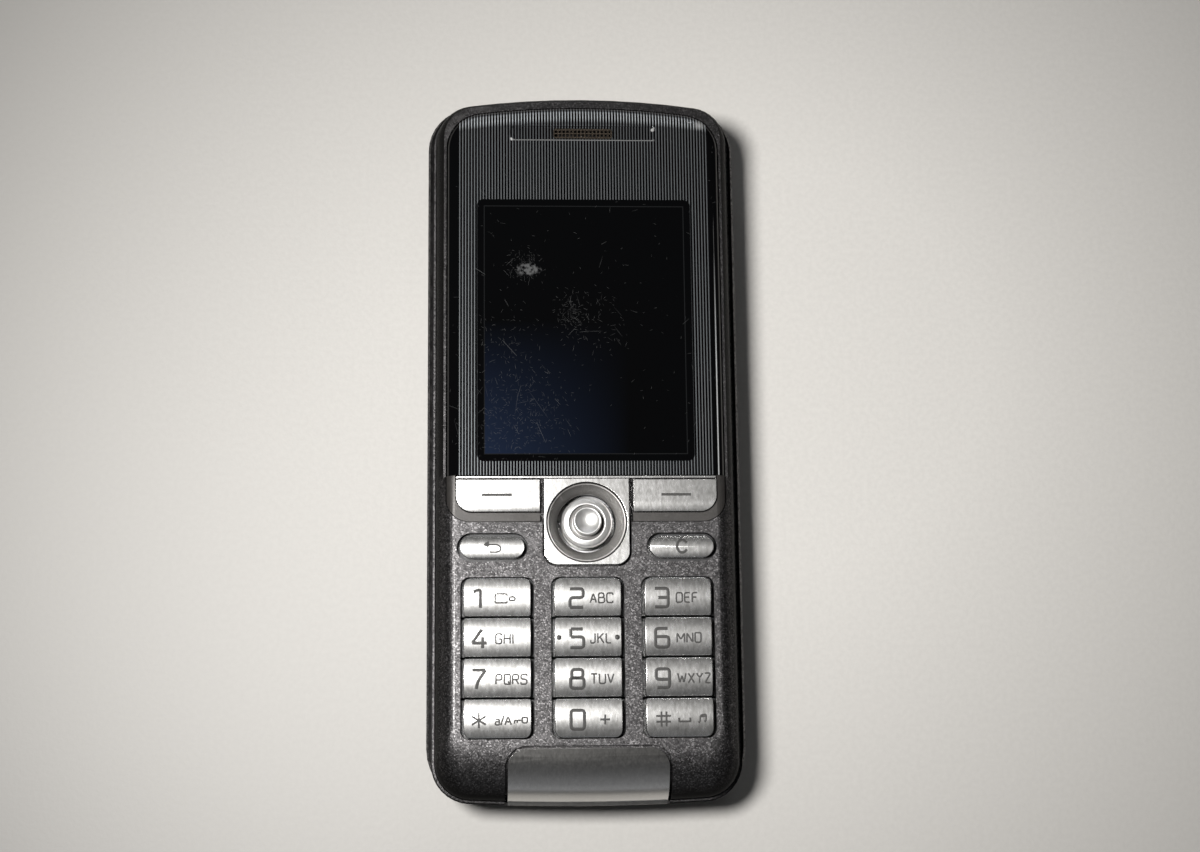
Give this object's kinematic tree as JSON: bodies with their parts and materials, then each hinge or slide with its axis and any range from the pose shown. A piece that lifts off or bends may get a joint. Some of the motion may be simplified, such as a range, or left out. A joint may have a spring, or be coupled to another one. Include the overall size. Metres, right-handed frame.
{
  "type": "candybar mobile phone",
  "caption": "Candybar mobile phone with a glossy striped window, silver number keys, softkeys, a joystick in a square plate and a sliding battery cover.",
  "frame": {"origin": "under the middle of the phone, on the surface that its back lies on", "axes": "+Z out of the front face, +Y towards the earpiece, +X to the right of the front face"},
  "size_m": [0.044, 0.101, 0.0185],
  "materials": {
    "sparkle_paint": "gunmetal sparkle paint under a clear coat",
    "rear_paint": "satin dark grey paint",
    "silver_paint": "fine-grained silver paint",
    "tab_paint": "grey metallic paint",
    "band_plastic": "satin dark grey",
    "window_acrylic": "clear acrylic over a dark print, scratched",
    "print_foil": "pinstripes of bright metal on black",
    "bronze_mesh": "dull bronze",
    "display_glass": "black, switched off",
    "foam": "matt foam",
    "black_plastic": "moulded black",
    "tinted_window": "dark tinted",
    "stem_plastic": "moulded",
    "steel": "pressed sheet",
    "silicone": "translucent",
    "gold_foil": "gold flash",
    "circuit_board": "solder mask",
    "cell_can": "wrapped in a plain dark label",
    "card_plastic": "plain white"
  },
  "bodies": {
    "phone": {"front_housing": "sparkle_paint", "rear_housing": "rear_paint", "nav_plate": "silver_paint", "trim_strip": "silver_paint", "bottom_tab": "tab_paint", "softkey_frames": "band_plastic", "nav_dish": "band_plastic", "window_lens": "window_acrylic", "stripe_foil": "print_foil", "earpiece_mesh": "bronze_mesh", "display_module": "display_glass", "display_gasket": "foam", "earpiece_speaker": "black_plastic", "loudspeaker": "black_plastic", "antenna": "black_plastic", "camera_module": "black_plastic", "system_connector": "black_plastic", "battery_connector": "black_plastic", "infrared_window": "tinted_window", "camera_window": "tinted_window", "joystick_base": "steel", "shield_can": "steel", "sim_holder": "steel", "microphone": "steel", "vibration_motor": "steel", "housing_screws": "steel", "keypad_mat": "silicone", "dome_sheet": "gold_foil", "connector_contacts": "gold_foil", "side_switches": "gold_foil", "main_board": "circuit_board", "battery": "cell_can", "sim_card": "card_plastic"},
    "softkey_left": {"softkey_left": "silver_paint"},
    "softkey_right": {"softkey_right": "silver_paint"},
    "back_key": {"back_key": "silver_paint"},
    "clear_key": {"clear_key": "silver_paint"},
    "key_1": {"key_1": "silver_paint"},
    "key_2": {"key_2": "silver_paint"},
    "key_3": {"key_3": "silver_paint"},
    "key_4": {"key_4": "silver_paint"},
    "key_5": {"key_5": "silver_paint"},
    "key_6": {"key_6": "silver_paint"},
    "key_7": {"key_7": "silver_paint"},
    "key_8": {"key_8": "silver_paint"},
    "key_9": {"key_9": "silver_paint"},
    "key_star": {"key_star": "silver_paint"},
    "key_0": {"key_0": "silver_paint"},
    "key_hash": {"key_hash": "silver_paint"},
    "joystick_slider": {"joystick_slider": "stem_plastic"},
    "joystick_rocker": {"joystick_rocker": "black_plastic"},
    "joystick_stick": {"joystick_stem": "stem_plastic", "joystick_cap": "silver_paint"},
    "power_key": {"power_key": "black_plastic"},
    "volume_rocker": {"volume_rocker": "black_plastic"},
    "camera_key": {"camera_key": "black_plastic"},
    "battery_cover": {"battery_cover": "rear_paint"},
    "vibration_weight": {"vibration_weight": "steel"}
  },
  "joints": [
    {"name": "softkey_left_press", "type": "slide", "parent": "phone", "child": "softkey_left", "axis": [0, 0, -1], "range_m": [0, 0.00035], "stiffness_N_per_m": 2000, "springref_m": -0.0005},
    {"name": "softkey_right_press", "type": "slide", "parent": "phone", "child": "softkey_right", "axis": [0, 0, -1], "range_m": [0, 0.00035], "stiffness_N_per_m": 2000, "springref_m": -0.0005},
    {"name": "back_key_press", "type": "slide", "parent": "phone", "child": "back_key", "axis": [0, 0, -1], "range_m": [0, 0.00035], "stiffness_N_per_m": 2000, "springref_m": -0.0005},
    {"name": "clear_key_press", "type": "slide", "parent": "phone", "child": "clear_key", "axis": [0, 0, -1], "range_m": [0, 0.00035], "stiffness_N_per_m": 2000, "springref_m": -0.0005},
    {"name": "key_1_press", "type": "slide", "parent": "phone", "child": "key_1", "axis": [0, 0, -1], "range_m": [0, 0.00035], "stiffness_N_per_m": 2000, "springref_m": -0.0005},
    {"name": "key_2_press", "type": "slide", "parent": "phone", "child": "key_2", "axis": [0, 0, -1], "range_m": [0, 0.00035], "stiffness_N_per_m": 2000, "springref_m": -0.0005},
    {"name": "key_3_press", "type": "slide", "parent": "phone", "child": "key_3", "axis": [0, 0, -1], "range_m": [0, 0.00035], "stiffness_N_per_m": 2000, "springref_m": -0.0005},
    {"name": "key_4_press", "type": "slide", "parent": "phone", "child": "key_4", "axis": [0, 0, -1], "range_m": [0, 0.00035], "stiffness_N_per_m": 2000, "springref_m": -0.0005},
    {"name": "key_5_press", "type": "slide", "parent": "phone", "child": "key_5", "axis": [0, 0, -1], "range_m": [0, 0.00035], "stiffness_N_per_m": 2000, "springref_m": -0.0005},
    {"name": "key_6_press", "type": "slide", "parent": "phone", "child": "key_6", "axis": [0, 0, -1], "range_m": [0, 0.00035], "stiffness_N_per_m": 2000, "springref_m": -0.0005},
    {"name": "key_7_press", "type": "slide", "parent": "phone", "child": "key_7", "axis": [0, 0, -1], "range_m": [0, 0.00035], "stiffness_N_per_m": 2000, "springref_m": -0.0005},
    {"name": "key_8_press", "type": "slide", "parent": "phone", "child": "key_8", "axis": [0, 0, -1], "range_m": [0, 0.00035], "stiffness_N_per_m": 2000, "springref_m": -0.0005},
    {"name": "key_9_press", "type": "slide", "parent": "phone", "child": "key_9", "axis": [0, 0, -1], "range_m": [0, 0.00035], "stiffness_N_per_m": 2000, "springref_m": -0.0005},
    {"name": "key_star_press", "type": "slide", "parent": "phone", "child": "key_star", "axis": [0, 0, -1], "range_m": [0, 0.00035], "stiffness_N_per_m": 2000, "springref_m": -0.0005},
    {"name": "key_0_press", "type": "slide", "parent": "phone", "child": "key_0", "axis": [0, 0, -1], "range_m": [0, 0.00035], "stiffness_N_per_m": 2000, "springref_m": -0.0005},
    {"name": "key_hash_press", "type": "slide", "parent": "phone", "child": "key_hash", "axis": [0, 0, -1], "range_m": [0, 0.00035], "stiffness_N_per_m": 2000, "springref_m": -0.0005},
    {"name": "joystick_press", "type": "slide", "parent": "phone", "child": "joystick_slider", "axis": [0, 0, -1], "range_m": [0, 0.0003], "stiffness_N_per_m": 2500, "springref_m": -0.0005},
    {"name": "joystick_up_down", "type": "hinge", "parent": "joystick_slider", "child": "joystick_rocker", "pos_m": [0, -0.01233, 0.0122], "axis": [1, 0, 0], "range_deg": [-5, 5], "stiffness_Nm_per_rad": 0.05},
    {"name": "joystick_left_right", "type": "hinge", "parent": "joystick_rocker", "child": "joystick_stick", "pos_m": [0, -0.01233, 0.0122], "axis": [0, 1, 0], "range_deg": [-5, 5], "stiffness_Nm_per_rad": 0.05},
    {"name": "power_key_press", "type": "slide", "parent": "phone", "child": "power_key", "axis": [0, -1, 0], "range_m": [0, 0.0003], "stiffness_N_per_m": 2000, "springref_m": -0.0005},
    {"name": "camera_key_press", "type": "slide", "parent": "phone", "child": "camera_key", "axis": [-1, 0, 0], "range_m": [0, 0.0003], "stiffness_N_per_m": 2000, "springref_m": -0.0005},
    {"name": "volume_rock", "type": "hinge", "parent": "phone", "child": "volume_rocker", "pos_m": [0.0202, 0.02, 0.007], "axis": [0, 0, 1], "range_deg": [-2, 2], "stiffness_Nm_per_rad": 0.05},
    {"name": "battery_cover_slide", "type": "slide", "parent": "phone", "child": "battery_cover", "axis": [0, -1, 0], "range_m": [0, 0.012]},
    {"name": "vibration_weight_spin", "type": "hinge", "parent": "phone", "child": "vibration_weight", "pos_m": [-0.0045, 0.0256, 0.00325], "axis": [1, 0, 0], "continuous": true}
  ]
}
